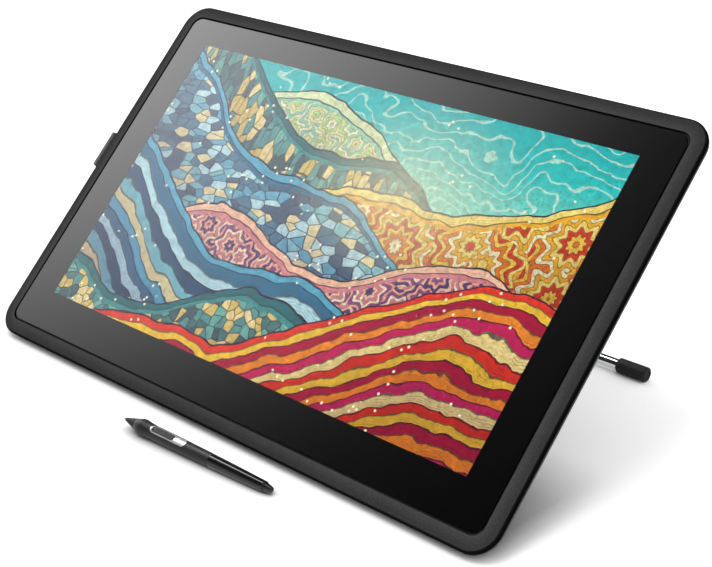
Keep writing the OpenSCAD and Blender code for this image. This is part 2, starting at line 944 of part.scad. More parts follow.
module vent_cuts() {
    for (s = [-1, 1], k = [0:vent_slots - 1])
        translate([s * vent_x + (k - (vent_slots - 1) / 2) * vent_pitch, vent_y])
            layer(back_inner + bite, -body_depth - bite)
                rotate(90)
                    slot(vent_len, vent_w);
}

module back_cover() {
    color("#2b2b2c")
        in_display()
            difference() {
                union() {
                    round_outline(body_w, body_h, body_corner_r)
                        polygon([
                            [seam, seam_z], [wall, seam_z], [wall, bevel_top], [back_inset, back_inner],
                            [back_inset + bite, back_inner], [back_inset + bite, -body_depth],
                            [back_inset, -body_depth], [side_lean, bevel_top], [0, seam_z - seam]
                        ]);
                    layer(back_inner, -body_depth)
                        rounded_rect(body_w - 2 * back_inset, body_h - 2 * back_inset, back_corner_r);
                    for (q = screw_spots)
                        translate(q)
                            layer(shield_bottom, -body_depth)
                                circle(boss_d / 2);
                    for (q = mount_spots)
                        translate(q)
                            layer(-body_depth + insert_len + wall, -body_depth)
                                circle(insert_d / 2 + wall);
                    translate([board_x, recess_y])
                        layer(recess_floor + recess_wall, -body_depth)
                            rounded_rect(
                                recess_w + 2 * recess_wall,
                                recess_h + 2 * recess_wall,
                                recess_r + recess_wall
                            );
                    for (s = [-1, 1])
                        translate([button_x + s * button_post_x, button_y])
                            layer(button_board_z, -body_depth)
                                circle(button_post_d / 2);
                }
                for (q = screw_spots)
                    translate(q) {
                        layer(shield_bottom + bite, -body_depth - bite)
                            circle(screw_d / 2 + run_gap);
                        layer(screw_land, -body_depth - bite)
                            circle(screw_head_d / 2 + free_gap);
                    }
                for (q = mount_spots)
                    translate(q)
                        layer(-body_depth + insert_len, -body_depth - bite)
                            circle(insert_d / 2 + seat_gap);
                translate([board_x, recess_y])
                    layer(recess_floor, -body_depth - bite)
                        rounded_rect(recess_w, recess_h, recess_r);
                socket_cut(hdmi_x, hdmi_size);
                socket_cut(usb_x, usb_size);
                socket_cut(power_x, power_size);
                vent_cuts();
                translate([button_x, button_y])
                    layer(back_inner + bite, -body_depth - bite) {
                        slot(button_len + 2 * free_gap, button_wid + 2 * free_gap);
                        translate([lens_x, 0])
                            circle(lens_d / 2 + seat_gap);
                    }
                translate([(loop_head_x - body_w / 2) / 2, loop_y, loop_z])
                    cube([
                        loop_head_x + body_w / 2,
                        loop_len + 2 * free_gap,
                        loop_neck_t + 2 * free_gap
                    ], center = true);
            }
}

module cover_screws() {
    color("#8f9194")
        in_display()
            for (q = screw_spots)
                translate(q) {
                    layer(ledge_bottom - screw_tip_gap, screw_land)
                        circle(screw_d / 2);
                    layer(screw_land, screw_land - screw_head_t)
                        difference() {
                            circle(screw_head_d / 2);
                            circle(screw_drive_d / 2, $fn = 6);
                        }
                }
}

module mount_inserts() {
    color("#c2a14d")
        in_display()
            for (q = mount_spots)
                translate(q)
                    layer(-body_depth + insert_len, -body_depth)
                        difference() {
                            circle(insert_d / 2);
                            circle(mount_d / 2 + seat_gap);
                        }
}

// A rubber foot along the lower bevel
module foot_pad(side) {
    color("#1d1d1d")
        in_display()
            translate([side * (body_w / 2 - foot_x), foot_mid.x, foot_mid.y])
                rotate([atan2(bevel_dir.y, bevel_dir.x), 0, 0])
                    intersection() {
                        bar_x(foot_len / 2) {
                            for (s = [-1, 1])
                                translate([s * foot_half, foot_sink])
                                    circle(foot_r);
                            translate([-foot_half, foot_sink - foot_r])
                                square([2 * foot_half, 2 * foot_r]);
                        }
                        translate([-foot_len, -bevel_len, -2 * foot_r])
                            cube([2 * foot_len, 2 * bevel_len, 2 * foot_r]);
                    }
}

module foot_pad_left() {
    foot_pad(-1);
}

module foot_pad_right() {
    foot_pad(1);
}

module pen_loop() {
    neck = loop_head_x - loop_x;
    color("#262626")
        in_display()
            translate([loop_x, loop_y, loop_z])
                bar_y(loop_len / 2)
                    difference() {
                        union() {
                            circle(loop_out_r);
                            translate([0, -loop_neck_t / 2])
                                square([neck + bite, loop_neck_t]);
                            translate([neck, -loop_head_t / 2])
                                square([loop_head_w, loop_head_t]);
                        }
                        circle(loop_r);
                    }
}

module button_board() {
    color("#1f5a3a")
        in_display()
            translate([button_x, button_y]) {
                layer(button_board_z + board_t, button_board_z)
                    square([button_board_w, button_board_h], center = true);
                layer(button_board_z, switch_top + plunger_t)
                    square(switch_size, center = true);
                layer(switch_top + plunger_t, switch_top)
                    circle(plunger_d / 2);
            }
}

module status_lens() {
    color("#dfe7ea")
        in_display()
            translate([button_x + lens_x, button_y])
                layer(button_board_z, -body_depth)
                    circle(lens_d / 2);
}

module power_button() {
    color("#1b1b1b")
        in_display()
            translate([button_x, button_y]) {
                layer(back_inner + flange_t, -body_depth - button_proud)
                    slot(button_len, button_wid);
                layer(back_inner + flange_t, back_inner)
                    slot(button_len + 2 * button_flange, button_wid + 2 * button_flange);
                layer(back_inner + flange_t + button_stem, back_inner)
                    circle(plunger_d / 2);
            }
}

// One ear of the bracket, from the plate out to a pin
module ear(side, inner, outer, pivot, r) {
    base = -body_depth - bracket_t;
    translate([side * (inner + outer) / 2, 0, 0])
        bar_x((outer - inner) / 2) {
            translate(pivot)
                circle(r);
            translate([pivot.x - r, pivot.y])
                square([2 * r, base - pivot.y + bite]);
        }
}

module pin_bore(pivot, r) {
    translate([0, pivot.x, pivot.y])
        rotate([0, 90, 0])
            cylinder(r = r, h = pin_bore_len, center = true);
}

module stand_bracket() {
    color("#242425")
        in_display()
            difference() {
                union() {
                    layer(-body_depth, -body_depth - bracket_t)
                        rounded_rect(bracket_size, bracket_size, bracket_r);
                    for (side = [-1, 1]) {
                        ear(side, ear_in, ear_out, hinge, ear_r);
                        ear(side, lever_ear_in, lever_ear_out, lever_pivot, lever_ear_r);
                    }
                }
                pin_bore(hinge, hinge_pin_d / 2 + seat_gap);
                pin_bore(lever_pivot, lever_pin_d / 2 + seat_gap);
                for (q = mount_spots)
                    translate(q)
                        layer(-body_depth + bite, -body_depth - bracket_t - bite)
                            circle(mount_d / 2 + free_gap);
            }
}

module stand_screws() {
    base = -body_depth - bracket_t;
    color("#9a9c9f")
        in_display()
            for (q = mount_spots)
                translate(q) {
                    layer(-body_depth + insert_len - bite, base)
                        circle(mount_d / 2);
                    layer(base, base - mount_head_t)
                        difference() {
                            circle(mount_head_d / 2);
                            circle(mount_drive_d / 2, $fn = 6);
                        }
                }
}

module hinge_pin() {
    color("#b4b6b8")
        in_display()
            translate([0, hinge.x, hinge.y])
                rotate([0, 90, 0]) {
                    cylinder(d = hinge_pin_d, h = 2 * hinge_pin_half, center = true);
                    translate([0, 0, -ear_out - pin_head_t])
                        cylinder(d = pin_head_d, h = pin_head_t);
                }
}

module hinge_washers() {
    color("#8a6d3b")
        in_display()
            for (side = [-1, 1])
                translate([side * (ear_in - side_play - washer_t / 2), hinge.x, hinge.y])
                    rotate([0, 90, 0])
                        difference() {
                            cylinder(d = barrel_d, h = washer_t, center = true);
                            cylinder(r = hinge_pin_d / 2 + seat_gap, h = 2 * washer_t, center = true);
                        }
}

module pin_clip() {
    color("#77797c")
        in_display()
            translate([ear_out, hinge.x, hinge.y])
                rotate([0, 90, 0])
                    difference() {
                        cylinder(d = pin_head_d, h = clip_t);
                        translate([0, 0, -bite])
                            cylinder(r = hinge_pin_d / 2 + seat_gap, h = clip_t + 2 * bite);
                        translate([pin_head_d / 2, 0, 0])
                            cube([pin_head_d, clip_mouth, 4 * clip_t], center = true);
                    }
}

// Half the width of the leg at a share of its length
function leg_half(t) = leg_top_half + (leg_foot_half - leg_top_half) * t;

// Outline of the leg seen square to its web, as wide as the barrels it joins
module leg_outline(inset) {
    top = leg_half(0) - inset;
    foot = leg_half(1) - inset;
    polygon([[-top, 0], [top, 0], [foot, leg_length], [-foot, leg_length]]);
}

module stand_leg() {
    color("#2e2f31")
        on_leg()
            difference() {
                union() {
                    rotate([0, 90, 0])
                        cylinder(d = barrel_d, h = barrel_w, center = true);
                    translate([0, leg_length, 0])
                        rotate([leg_drop, 0, 0])
                            translate([0, 0, foot_barrel_rise])
                                rotate([0, 90, 0])
                                    cylinder(r = foot_barrel_r, h = leg_foot_w, center = true);
                    translate([0, 0, -web_t / 2])
                        linear_extrude(web_t)
                            leg_outline(0);
                    translate([0, 0, -rail_h / 2])
                        linear_extrude(rail_h)
                            difference() {
                                leg_outline(0);
                                leg_outline(rail_t);
                            }
                    for (k = [1:rib_count])
                        let (t = k / (rib_count + 1))
                            translate([0, leg_length * t, 0])
                                cube([2 * leg_half(t) - rail_t, rib_t, rail_h - 2 * rib_sink], center = true);
                }
                rotate([0, 90, 0])
                    cylinder(r = hinge_pin_d / 2 + run_gap, h = 2 * barrel_w, center = true);
                translate([0, leg_length, 0])
                    rotate([0, 90, 0])
                        cylinder(r = bar_d / 2 + seat_gap, h = 2 * leg_foot_w, center = true);
                for (side = [-1, 1])
                    translate([side * grub_x, leg_length, 0])
                        cylinder(r = grub_d / 2 + seat_gap, h = 2 * foot_barrel_r);
            }
}

module foot_bar() {
    color("#d9dbdd")
        on_leg()
            translate([0, leg_length, 0])
                rotate([0, 90, 0])
                    cylinder(d = bar_d, h = 2 * bar_end, center = true);
}

module bar_screws() {
    color("#77797c")
        on_leg()
            for (side = [-1, 1])
                translate([side * grub_x, leg_length, bar_d / 2 + seat_gap])
                    difference() {
                        cylinder(d = grub_d, h = grub_len);
                        translate([0, 0, bite])
                            cylinder(d = grub_drive_d, h = foot_barrel_r, $fn = 6);
                    }
}

// A rubber grip over one end of the foot bar
module foot_grip(side) {
    r = grip_d / 2;
    hole = grip_len - grip_cap + seat_gap;
    dimple = grip_len - dimple_depth;
    end_round = [r - grip_round, grip_len - grip_round];
    color("#2a2a2b")
        on_leg()
            translate([side * (bar_span / 2 - grip_len), leg_length, 0])
                rotate([0, 90 * side, 0])
                    rotate_extrude()
                        polygon(concat(
                            [[bar_d / 2 + seat_gap, 0], [r - grip_chamfer, 0], [r, grip_chamfer]],
                            arc_points(end_round, grip_round, 0, 90, round_steps),
                            [[dimple_d / 2, grip_len], [dimple_d / 2 - dimple_depth, dimple], [0, dimple]],
                            [[0, hole], [bar_d / 2 + seat_gap, hole]]
                        ));
}

module foot_grip_left() {
    foot_grip(-1);
}

module foot_grip_right() {
    foot_grip(1);
}

module release_lever() {
    color("#343436")
        on_lever()
            difference() {
                union() {
                    for (side = [-1, 1])
                        translate([side * (lever_w + spring_w) / 4, 0, 0])
                            bar_x((lever_w - spring_w) / 4)
                                circle(lever_knuckle_r);
                    bar_x(lever_w / 2)
                        polygon([
                            [lever_root, -lever_t], [lever_len, -lever_t - lever_flare],
                            [lever_len, -lever_flare], [lever_root, 0]
                        ]);
                    for (side = [-1, 1])
                        translate([side * (lever_w + spring_w) / 4, 0, 0])
                            bar_x((lever_w - spring_w) / 4)
                                translate([0, -lever_t])
                                    square([lever_root + bite, lever_t]);
                    for (side = [-1, 1])
                        translate([side * (nose_w + spring_w) / 4, 0, 0])
                            bar_x((nose_w - spring_w) / 4)
                                rotate(nose_turn)
                                    translate([0, -nose_r])
                                        square([nose_reach, 2 * nose_r]);
                    bar_x(nose_w / 2)
                        rotate(nose_turn)
                            translate([nose_reach - nose_r, -nose_r])
                                square([nose_r, 2 * nose_r]);
                }
                rotate([0, 90, 0])
                    cylinder(r = lever_pin_d / 2 + run_gap, h = 2 * lever_w, center = true);
            }
}

module lever_pad() {
    lean = atan2(-lever_flare, lever_len - lever_root);
    color("#1d1d1d")
        on_lever()
            translate([0, lever_root, -lever_t])
                rotate([lean, 0, 0])
                    bar_x(lever_w / 2 - lever_pad_inset)
                        translate([lever_len - lever_root - lever_pad_end - lever_pad_len, -lever_pad_t]) {
                            square([lever_pad_len, lever_pad_t]);
                            for (k = [0:lever_pad_ridges - 1])
                                translate([lever_pad_len * (k + 0.5) / lever_pad_ridges, 0])
                                    circle(lever_ridge_r);
                        }
}

module brake_pad() {
    color("#6b4a2f")
        on_lever()
            bar_x(nose_w / 2)
                rotate(nose_turn)
                    translate([nose_reach, 0])
                        intersection() {
                            circle(nose_r);
                            translate([0, -nose_r])
                                square(2 * nose_r);
                        }
}

module lever_pin() {
    color("#b4b6b8")
        on_lever()
            rotate([0, 90, 0])
                cylinder(d = lever_pin_d, h = 2 * (lever_ear_out + lever_pin_end), center = true);
}

// Return spring of the lever: a coil round its pin with one tail on the bracket plate
module lever_spring() {
    color("#c8cacc")
        on_lever()
            tube(spring_path, spring_wire_d / 2, spring_sides);
}

module pen_core() {
    color("#1b1b1b")
        on_pen()
            difference() {
                pen_turned()
                    pen_outline([
                        [nose_end, core_bore_r], [nose_end, core_r],
                        [core_end, core_r], [core_end, core_bore_r]
                    ]);
                translate([switch_s, 0, core_r])
                    cube([bezel_len, bezel_w, 2 * bezel_sink], center = true);
            }
}

// The nose cone, with a spigot that plugs into the core
module pen_nose() {
    spigot_r = core_bore_r - seat_gap;
    spigot_end = nose_end + nose_lap;
    color("#2a2a2b")
        on_pen()
            pen_turned()
                pen_outline(concat(
                    [[nose_start, nib_r + run_gap]],
                    nose_outline,
                    [[nose_end, spigot_r], [spigot_end, spigot_r], [spigot_end, nib_r + run_gap]]
                ));
}

module nose_ring() {
    color("#9d9fa1")
        on_pen()
            pen_turned()
                pen_outline([
                    [nose_end, core_r + seat_gap], [nose_end, nose_base_r],
                    [nose_end + ring_w, nose_base_r + ring_flare], [nose_end + ring_w, core_r + seat_gap]
                ]);
}

module pen_grip() {
    color("#222223")
        on_pen()
            difference() {
                pen_turned()
                    pen_outline(concat(
                        grip_outline,
                        [[grip_end, core_r + seat_gap], [nose_end + ring_w, core_r + seat_gap]]
                    ));
                translate([switch_s, 0, 0])
                    linear_extrude(2 * bulge_r)
                        slot(bezel_len + 2 * seat_gap, bezel_w + 2 * seat_gap);
            }
}

// The silver surround of the side switch, with a closed plate behind the rocker
module switch_bezel() {
    pin_hole = bezel_w - 2 * bezel_pin_wall;
    color("#c8cacc")
        on_pen()
            difference() {
                intersection() {
                    translate([switch_s, 0, core_r - bezel_sink])
                        linear_extrude(bulge_r)
                            slot(bezel_len, bezel_w);
                    pen_turned()
                        pen_outline(concat(
                            [for (q = grip_outline) q + [0, bezel_proud]],
                            [[grip_end, 0], [nose_end + ring_w, 0]]
                        ));
                }
                translate([rocker_s, 0, 0])
                    linear_extrude(2 * bulge_r)
                        slot(rocker_len + 2 * free_gap, rocker_w + 2 * free_gap);
                translate([rocker_s, 0, rocker_pin_z])
                    rotate([90, 0, 0])
                        cylinder(d = rocker_pin_d + 2 * seat_gap, h = pin_hole, center = true);
            }
}

module switch_pin() {
    color("#77797c")
        on_pen()
            translate([rocker_s, 0, rocker_pin_z])
                rotate([90, 0, 0])
                    cylinder(d = rocker_pin_d, h = bezel_w - 2 * (bezel_pin_wall + press_gap), center = true);
}

module side_switch() {
    color("#1a1a1b")
        on_pen()
            difference() {
                intersection() {
                    translate([rocker_s, 0, rocker_base])
                        linear_extrude(bulge_r)
                            slot(rocker_len, rocker_w);
                    translate([rocker_s, 0, rocker_top - rocker_dome_r])
                        rotate([90, 0, 0])
                            cylinder(r = rocker_dome_r, h = 2 * bezel_w, center = true, $fn = 180);
                }
                translate([rocker_s, 0, rocker_pin_z])
                    rotate([90, 0, 0])
                        cylinder(r = rocker_pin_d / 2 + run_gap, h = 2 * bezel_w, center = true);
            }
}

module pen_barrel() {
    color("#1c1c1d")
        on_pen()
            pen_turned()
                pen_outline(concat(
                    barrel_outline,
                    [[barrel_end, eraser_stem_r + run_gap], [core_end, eraser_stem_r + run_gap]],
                    [[core_end, core_r + seat_gap], [grip_end, core_r + seat_gap]]
                ));
}

module pen_nib() {
    color("#3c3c3d")
        on_pen()
            pen_turned()
                pen_outline(concat(
                    [[nib_len, 0]],
                    arc_points([nib_tip_r, 0], nib_tip_r, 180, 90, round_steps),
                    [[nose_start, nib_r], [nib_len, nib_r]]
                ));
}

module pen_eraser() {
    seat = barrel_end + eraser_travel + press_gap;
    stem_end = barrel_end - eraser_stem;
    end_round = [pen_len - eraser_round, eraser_r - eraser_taper - eraser_round];
    color("#2b2b2c")
        on_pen()
            pen_turned()
                pen_outline(concat(
                    [[stem_end, 0], [stem_end, eraser_stem_r], [seat, eraser_stem_r], [seat, eraser_r]],
                    arc_points(end_round, eraser_round, 90, 0, round_steps),
                    [[pen_len, 0]]
                ));
}

module pen_coil() {
    color("#a8652f")
        on_pen()
            pen_turned()
                pen_outline([
                    [coil_start, nib_r + free_gap], [coil_start, core_bore_r - run_gap],
                    [coil_start + coil_len, core_bore_r - run_gap], [coil_start + coil_len, nib_r + free_gap]
                ]);
}

module pressure_sensor() {
    end = sensor_start + sensor_len;
    color("#8d8f92")
        on_pen()
            pen_turned()
                pen_outline([
                    [sensor_start, 0], [sensor_start, core_bore_r - run_gap],
                    [end, core_bore_r - run_gap], [end, 0]
                ]);
}

module pen_board() {
    color("#1f5a3a")
        on_pen()
            translate([sensor_start + sensor_len, -pen_board_half, -pen_board_t])
                cube([pen_board_len, 2 * pen_board_half, pen_board_t]);
}

front_frame();
cover_glass();
glass_tape();
lcd_cell();
diffuser_films();
light_guide();
led_bar();
panel_tray();
sensor_board();
shield_plate();
main_board();
board_screws();
panel_cable();
hdmi_socket();
usb_socket();
power_socket();
back_cover();
cover_screws();
mount_inserts();
foot_pad_left();
foot_pad_right();
pen_loop();
button_board();
status_lens();
power_button();
stand_bracket();
stand_screws();
hinge_pin();
hinge_washers();
pin_clip();
stand_leg();
foot_bar();
bar_screws();
foot_grip_left();
foot_grip_right();
release_lever();
lever_pad();
brake_pad();
lever_pin();
lever_spring();
pen_core();
pen_nose();
nose_ring();
pen_grip();
switch_bezel();
switch_pin();
side_switch();
pen_barrel();
pen_nib();
pen_eraser();
pen_coil();
pressure_sensor();
pen_board();
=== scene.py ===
"""Looks of a pen display on its stand, with its pen in front of it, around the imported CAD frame."""
import json
import math

import bpy
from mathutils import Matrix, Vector


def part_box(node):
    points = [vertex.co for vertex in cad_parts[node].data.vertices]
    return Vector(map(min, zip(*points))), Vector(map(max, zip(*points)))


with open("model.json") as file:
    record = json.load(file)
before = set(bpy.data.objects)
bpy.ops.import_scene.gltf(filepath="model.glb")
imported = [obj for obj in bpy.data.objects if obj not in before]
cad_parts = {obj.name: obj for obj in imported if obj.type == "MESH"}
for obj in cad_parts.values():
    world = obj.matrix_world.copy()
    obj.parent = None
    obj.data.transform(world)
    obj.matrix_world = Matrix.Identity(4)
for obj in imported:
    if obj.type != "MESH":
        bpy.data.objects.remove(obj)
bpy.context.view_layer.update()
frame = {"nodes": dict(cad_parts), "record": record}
nodes = frame["nodes"]
scene = bpy.context.scene
scene.view_settings.view_transform = "Standard"

# Camera: the photograph's width and focal length in pixels, a sensor to go with them, where the camera stands
# from the middle of the picture on the face of the glass, in metres, and which way it looks
PHOTO_W = 712
FOCAL_PX = 1561.2
SENSOR_MM = 36.0
CAMERA_FROM_SCREEN = Vector((0.8372, -0.8378, 0.4503))
CAMERA_LOOK = Vector((-0.63467, 0.66898, -0.38686))

# Dark margin of the liquid crystal cell round its lit picture, in metres
CELL_MARGIN = 0.004


def plane_of(node):
    """Outward normal and middle of the largest flat face of a CAD node that looks up."""
    mesh = nodes[node].data
    top = max((p for p in mesh.polygons if p.normal.z > 0.1), key=lambda p: p.area)
    return top.normal.copy(), top.center.copy()


def middle(node):
    low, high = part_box(node)
    return (low + high) / 2


def span_along(node, axis):
    """Length of a CAD node along a direction."""
    reach = [v.co.dot(axis) for v in nodes[node].data.vertices]
    return max(reach) - min(reach)


# The display's own directions: across the screen, up the screen and out of the glass
OUT = plane_of("cover_glass")[0]
ACROSS = Vector((1, 0, 0))
UP = OUT.cross(ACROSS).normalized()
ACTIVE_W = span_along("lcd_cell", ACROSS) - 2 * CELL_MARGIN
ACTIVE_H = span_along("lcd_cell", UP) - 2 * CELL_MARGIN
SCREEN = middle("lcd_cell")
GLASS_FACE = plane_of("cover_glass")[1]


class Shade:
    """One material, built node by node. A value is a number, a colour or another node's socket."""

    def __init__(self, name):
        self.mat = bpy.data.materials.new(name)
        self.mat.use_nodes = True
        self.tree = self.mat.node_tree
        self.tree.nodes.clear()
        self.place = self.node("ShaderNodeTexCoord").outputs["Object"]

    def node(self, kind, **settings):
        made = self.tree.nodes.new(kind)
        for key, value in settings.items():
            setattr(made, key, value)
        return made

    def put(self, socket, value):
        if isinstance(value, bpy.types.NodeSocket):
            self.tree.links.new(value, socket)
        elif isinstance(value, (tuple, list)) and len(value) == 3 and socket.type == "RGBA":
            socket.default_value = (*value, 1)
        else:
            socket.default_value = value

    def math(self, operation, a, b=0.0, clamp=False):
        made = self.node("ShaderNodeMath", operation=operation, use_clamp=clamp)
        for socket, value in zip(made.inputs, (a, b)):
            self.put(socket, value)
        return made.outputs[0]

    def add(self, a, b):
        return self.math("ADD", a, b)

    def mul(self, a, b):
        return self.math("MULTIPLY", a, b)

    def less(self, a, b):
        return self.math("LESS_THAN", a, b)

    def fract(self, a):
        return self.math("FRACT", a)

    def dot(self, a, b):
        made = self.node("ShaderNodeVectorMath", operation="DOT_PRODUCT")
        self.put(made.inputs[0], a)
        self.put(made.inputs[1], tuple(b))
        return made.outputs["Value"]

    def vector(self, operation, a, b):
        made = self.node("ShaderNodeVectorMath", operation=operation)
        self.put(made.inputs[0], a)
        self.put(made.inputs[1], b)
        return made.outputs[0]

    def combine(self, x, y, z=0.0):
        made = self.node("ShaderNodeCombineXYZ")
        for socket, value in zip(made.inputs, (x, y, z)):
            self.put(socket, value)
        return made.outputs[0]

    def noise(self, scale, detail=2.0, rough=0.5, at=None):
        made = self.node("ShaderNodeTexNoise")
        self.put(made.inputs["Vector"], at or self.place)
        self.put(made.inputs["Scale"], scale)
        self.put(made.inputs["Detail"], detail)
        self.put(made.inputs["Roughness"], rough)
        return made.outputs["Fac"]

    def cells(self, scale, at=None, feature="F1", flat=False, out="Distance"):
        made = self.node("ShaderNodeTexVoronoi", feature=feature)
        made.voronoi_dimensions = "2D" if flat else "3D"
        self.put(made.inputs["Vector"], at or self.place)
        self.put(made.inputs["Scale"], scale)
        return made.outputs[out]

    def ramp(self, fac, stops, steps=False):
        made = self.node("ShaderNodeValToRGB")
        made.color_ramp.interpolation = "CONSTANT" if steps else "LINEAR"
        elements = made.color_ramp.elements
        while len(elements) < len(stops):
            elements.new(0.5)
        for element, (at, colour) in zip(elements, stops):
            element.position = at
            element.color = (*colour, 1)
        self.put(made.inputs["Fac"], fac)
        return made.outputs["Color"]

    def spread(self, fac, low, high, start=0.0, end=1.0):
        """The value rescaled from start..end to low..high, and held there outside."""
        made = self.node("ShaderNodeMapRange")
        for name, value in (("Value", fac), ("From Min", start), ("From Max", end),
                            ("To Min", low), ("To Max", high)):
            self.put(made.inputs[name], value)
        return made.outputs[0]

    def mix(self, fac, a, b, blend="MIX"):
        made = self.node("ShaderNodeMix", data_type="RGBA", blend_type=blend)
        self.put(made.inputs[0], fac)
        self.put(made.inputs[6], a)
        self.put(made.inputs[7], b)
        return made.outputs[2]

    def facing(self):
        """1 where the surface looks out of the glass, 0 where it looks sideways."""
        return self.dot(self.node("ShaderNodeNewGeometry").outputs["Normal"], OUT)

    def bump(self, height, depth, normal=None):
        made = self.node("ShaderNodeBump")
        self.put(made.inputs["Height"], height)
        self.put(made.inputs["Distance"], depth)
        if normal is not None:
            self.put(made.inputs["Normal"], normal)
        return made.outputs["Normal"]

    def principled(self, **inputs):
        made = self.node("ShaderNodeBsdfPrincipled")
        for name, value in inputs.items():
            self.put(made.inputs[name.replace("_", " ")], value)
        return made.outputs[0]

    def blend(self, fac, a, b):
        made = self.node("ShaderNodeMixShader")
        self.put(made.inputs[0], fac)
        self.put(made.inputs[1], a)
        self.put(made.inputs[2], b)
        return made.outputs[0]

    def show(self, shader):
        self.put(self.node("ShaderNodeOutputMaterial").inputs["Surface"], shader)
        return self.mat


# Where most values of a noise texture lie
NOISE_SPAN = (0.3, 0.7)


def tones(colour, change):
    """A darker and a lighter neighbour of a colour."""
    return [tuple(max(c * (1 + s * change), 0) for c in colour) for s in (-1, 1)]


def moulded(name, colour, rough, grain=2600.0, depth=0.00006, change=0.12, **extra):
    """Moulded plastic or rubber: a fine spark-eroded grain, slow drifts of tone and uneven gloss."""
    s = Shade(name)
    fine = s.noise(grain, 3, 0.6)
    slow = s.noise(34, 2)
    dark, light = tones(colour, change)
    tone = s.mix(s.spread(s.add(s.mul(fine, 0.9), s.mul(slow, 0.1)), 0, 1, *NOISE_SPAN), dark, light)
    gloss = s.spread(slow, rough - 0.02, rough + 0.02, *NOISE_SPAN)
    return s.show(s.principled(Base_Color=tone, Roughness=gloss, Normal=s.bump(fine, depth), **extra))


# Painted shade on the frame, for the shade on its crowned face and rolled edges: how its tone falls as it
# rolls over, by the sine of its lean, and the share of the tone that is left
FRAME_ROLL_SHADE = ((0.0, 1.0), (0.06, 0.88), (0.2, 0.55), (0.45, 0.12), (1.0, 0.03))


def frame_shell(name, colour, rough):
    """The front frame: a fine grain, and a painted shade that darkens its tone where it rolls over to the
    sides.
    """
    s = Shade(name)
    fine = s.noise(2600, 3, 0.6)
    coarse = s.noise(750, 2, 0.6)
    slow = s.noise(34, 2)
    dark, light = tones(colour, 0.22)
    tone = s.mix(s.spread(s.add(s.mul(coarse, 0.7), s.mul(slow, 0.3)), 0, 1, *NOISE_SPAN), dark, light)
    facing = s.facing()
    lean = s.math("SQRT", s.math("SUBTRACT", 1.0, s.mul(facing, facing), clamp=True))
    # Painted shade: the tone is multiplied down where the frame leans away from the glass's face
    shade = s.ramp(lean, [(at, (share,) * 3) for at, share in FRAME_ROLL_SHADE])
    tone = s.mix(1.0, tone, shade, blend="MULTIPLY")
    gloss = s.spread(slow, rough - 0.05, rough + 0.05, *NOISE_SPAN)
    return s.show(s.principled(Base_Color=tone, Roughness=gloss, Specular_IOR_Level=0.01,
                               Normal=s.bump(fine, 0.00006)))


def metal(name, colour, rough, grain=(900, 900, 900), change=0.1, depth=0.00001, plate=1.0):
    """Machined or plated metal, or silver paint: fine streaks drawn out along one direction."""
    s = Shade(name)
    streaks = s.noise(1.0, 4, 0.65, at=s.vector("MULTIPLY", s.place, grain))
    dark, light = tones(colour, change)
    tone = s.mix(streaks, dark, light)
    gloss = s.spread(streaks, rough * 0.7, rough * 1.3, *NOISE_SPAN)
    return s.show(s.principled(Base_Color=tone, Roughness=gloss, Metallic=plate,
                               Normal=s.bump(streaks, depth)))


def powder_coat(name, colour, rough):
    """Powder coat on metal: a soft orange peel with a finer speckle in it."""
    s = Shade(name)
    peel = s.noise(900, 2, 0.4)
    speck = s.noise(5200, 2)
    dark, light = tones(colour, 0.18)
    tone = s.mix(s.spread(speck, 0, 1, 0.35, 0.65), dark, light)
    gloss = s.spread(peel, rough - 0.06, rough + 0.06, *NOISE_SPAN)
    height = s.bump(speck, 0.00003, s.bump(peel, 0.0001))
    return s.show(s.principled(Base_Color=tone, Roughness=gloss, Normal=height))


def circuit_board(name):
    """Green solder mask over copper tracks."""
    s = Shade(name)
    edges = s.cells(420, feature="DISTANCE_TO_EDGE")
    track = s.less(edges, 0.05)
    mask = s.mix(s.noise(60), (0.012, 0.075, 0.035), (0.02, 0.11, 0.05))
    tone = s.mix(track, mask, (0.06, 0.2, 0.08))
    return s.show(s.principled(Base_Color=tone, Roughness=0.38, Normal=s.bump(track, 0.00004)))


def film(name, colour):
    """Milky optical film with a faint prism ribbing."""
    s = Shade(name)
    ribs = s.fract(s.mul(s.dot(s.place, UP), 2500))
    dark, light = tones(colour, 0.05)
    tone = s.mix(s.noise(40), dark, light)
    return s.show(s.principled(Base_Color=tone, Roughness=0.3, Normal=s.bump(ribs, 0.00002)))


def screen_place(s):
    """Places on the screen: across and up from its middle, in half heights of the picture."""
    from_middle = s.vector("SUBTRACT", s.place, tuple(SCREEN))
    half = ACTIVE_H / 2
    return s.mul(s.dot(from_middle, ACROSS), 1 / half), s.mul(s.dot(from_middle, UP), 1 / half)


def in_picture(s, x, y):
    """1 inside the lit picture and 0 outside it."""
    wide = s.less(s.math("ABSOLUTE", x), ACTIVE_W / ACTIVE_H)
    return s.mul(wide, s.less(s.math("ABSOLUTE", y), 1.0))


# Colours of the picture, by family
SKY = [(0.0, (0.8, 0.9, 0.6)), (0.3, (0.3, 0.8, 0.62)), (0.6, (0.03, 0.58, 0.55)), (1.0, (0.01, 0.4, 0.44))]
CLOUD = [(0.75, 0.85, 0.5), (0.35, 0.72, 0.5), (0.95, 0.9, 0.6), (0.5, 0.78, 0.3), (0.85, 0.8, 0.35)]
GROVE = [(0.02, 0.16, 0.18), (0.05, 0.3, 0.3), (0.75, 0.55, 0.14),
         (0.01, 0.08, 0.12), (0.12, 0.45, 0.38), (0.9, 0.72, 0.3)]
GOLD = [(1.0, 0.78, 0.2), (0.98, 0.5, 0.03), (1.0, 0.9, 0.5),
        (0.9, 0.22, 0.02), (1.0, 0.66, 0.08), (0.75, 0.06, 0.02)]
LAKE = [(0.1, 0.42, 0.6), (0.03, 0.17, 0.3), (0.5, 0.8, 0.85),
        (0.02, 0.08, 0.18), (0.2, 0.55, 0.62), (0.85, 0.75, 0.4)]
ROSE = [(0.95, 0.55, 0.38), (0.75, 0.25, 0.28), (1.0, 0.8, 0.55),
        (0.28, 0.08, 0.26), (0.9, 0.4, 0.3), (0.1, 0.06, 0.2)]
